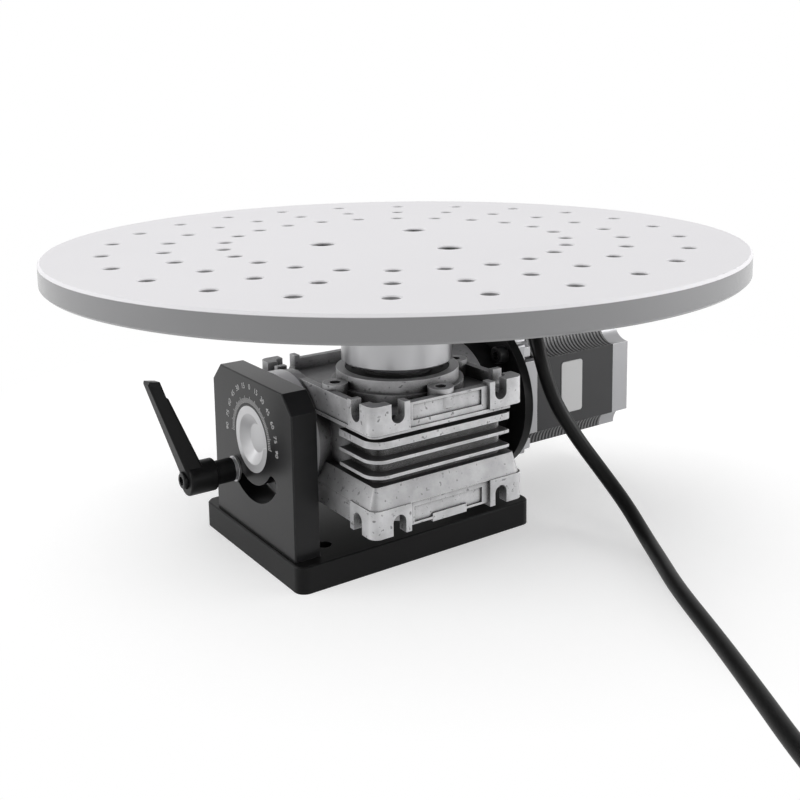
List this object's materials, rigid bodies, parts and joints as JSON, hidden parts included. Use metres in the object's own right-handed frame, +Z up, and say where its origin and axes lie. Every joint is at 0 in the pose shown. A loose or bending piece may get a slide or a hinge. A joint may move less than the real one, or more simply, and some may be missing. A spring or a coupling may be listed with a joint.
{
  "type": "motorized rotary table",
  "caption": "Motor-driven round turntable on a worm gearbox, hung from a one-sided bracket that tilts and is held by a clamping lever; drilled with rings of bolt holes.",
  "frame": {"origin": "on the bench, straight under the table's rotary axis, at the bottom centre of the object without its cord", "axes": "+Z up along the rotary axis at rest; +X from the tilting bracket towards the motor; -Y is the front, where the gearbox's finned side is"},
  "size_m": [0.3, 0.453, 0.1435],
  "materials": {
    "table_aluminium": "fine turned satin",
    "turned_steel": "turned satin",
    "cast_aluminium": "shot-blasted casting",
    "machined_aluminium": "fine milled",
    "black_anodised": "black satin anodised",
    "black_plastic": "fine moulded grain",
    "stack_black": "black laminations",
    "steel_fastener": "zinc plated",
    "black_screw": "black oxide",
    "hard_steel": "ground",
    "bearing_steel": "ground and polished",
    "wheel_bronze": "hobbed bronze",
    "winding_copper": "enamelled wire",
    "seal_rubber": "oil seal rubber",
    "label_plate": "blank satin film",
    "cord_jacket": "soft black jacket"
  },
  "bodies": {
    "base": {"base_plate": "black_anodised", "upright": "black_anodised", "upright_screws": "black_screw", "dowel_pins": "hard_steel", "floor_cord": "cord_jacket", "cord_coil": "cord_jacket", "cord_plug": "black_plastic"},
    "table": {"table_plate": "table_aluminium", "table_screws": "black_screw", "hub": "turned_steel", "shaft_key": "hard_steel", "retaining_washer": "steel_fastener", "retaining_screw": "steel_fastener", "output_shaft": "hard_steel", "worm_wheel": "wheel_bronze", "output_bearing_inners": "bearing_steel"},
    "worm": {"worm_shaft": "hard_steel", "worm_bearing_inners": "bearing_steel", "motor_rotor": "stack_black", "motor_shaft": "hard_steel", "motor_bearing_inners": "bearing_steel"},
    "clamp": {"clamp_stud": "steel_fastener", "clamp_screw": "black_screw", "clamp_spring": "steel_fastener"},
    "lever": {"clamp_lever": "black_plastic"},
    "tilt_head": {"output_bearing_outers": "bearing_steel", "worm_bearing_outers": "bearing_steel", "oil_seals": "seal_rubber", "gear_housing": "cast_aluminium", "output_cover": "cast_aluminium", "cover_screws": "steel_fastener", "pivot_flange": "machined_aluminium", "pivot_screws": "steel_fastener", "clamp_washer": "steel_fastener", "input_flange": "black_anodised", "input_flange_screws": "black_screw", "motor_mount_screws": "black_screw", "motor_mount_nuts": "steel_fastener", "motor_front_bell": "machined_aluminium", "motor_stack": "stack_black", "motor_rear_bell": "machined_aluminium", "motor_through_screws": "steel_fastener", "motor_windings": "winding_copper", "motor_bearing_outers": "bearing_steel", "motor_label": "label_plate", "cable_entry": "black_plastic", "strain_relief": "cord_jacket", "motor_cord": "cord_jacket"}
  },
  "joints": [
    {"name": "tilt", "type": "hinge", "parent": "base", "child": "tilt_head", "pos_m": [-0.0529, 0.03, 0.056], "axis": [-1, 0, 0], "range_deg": [0, 90]},
    {"name": "table_spin", "type": "hinge", "parent": "tilt_head", "child": "table", "pos_m": [0, 0, 0.0875], "axis": [0, 0, 1], "continuous": true},
    {"name": "worm_spin", "type": "hinge", "parent": "tilt_head", "child": "worm", "pos_m": [0, 0.03, 0.056], "axis": [1, 0, 0], "continuous": true},
    {"name": "clamp_turn", "type": "hinge", "parent": "tilt_head", "child": "clamp", "pos_m": [-0.0529, 0.04646, 0.03772], "axis": [1, 0, 0], "range_deg": [-90, 90]},
    {"name": "lever_lift", "type": "slide", "parent": "clamp", "child": "lever", "axis": [-1, 0, 0], "range_m": [0, 0.004], "stiffness_N_per_m": 400, "springref_m": -0.005, "deforming": ["clamp_spring"]}
  ],
  "couplings": [
    {"joint": "worm_spin", "follows": "table_spin", "ratio": 30}
  ]
}
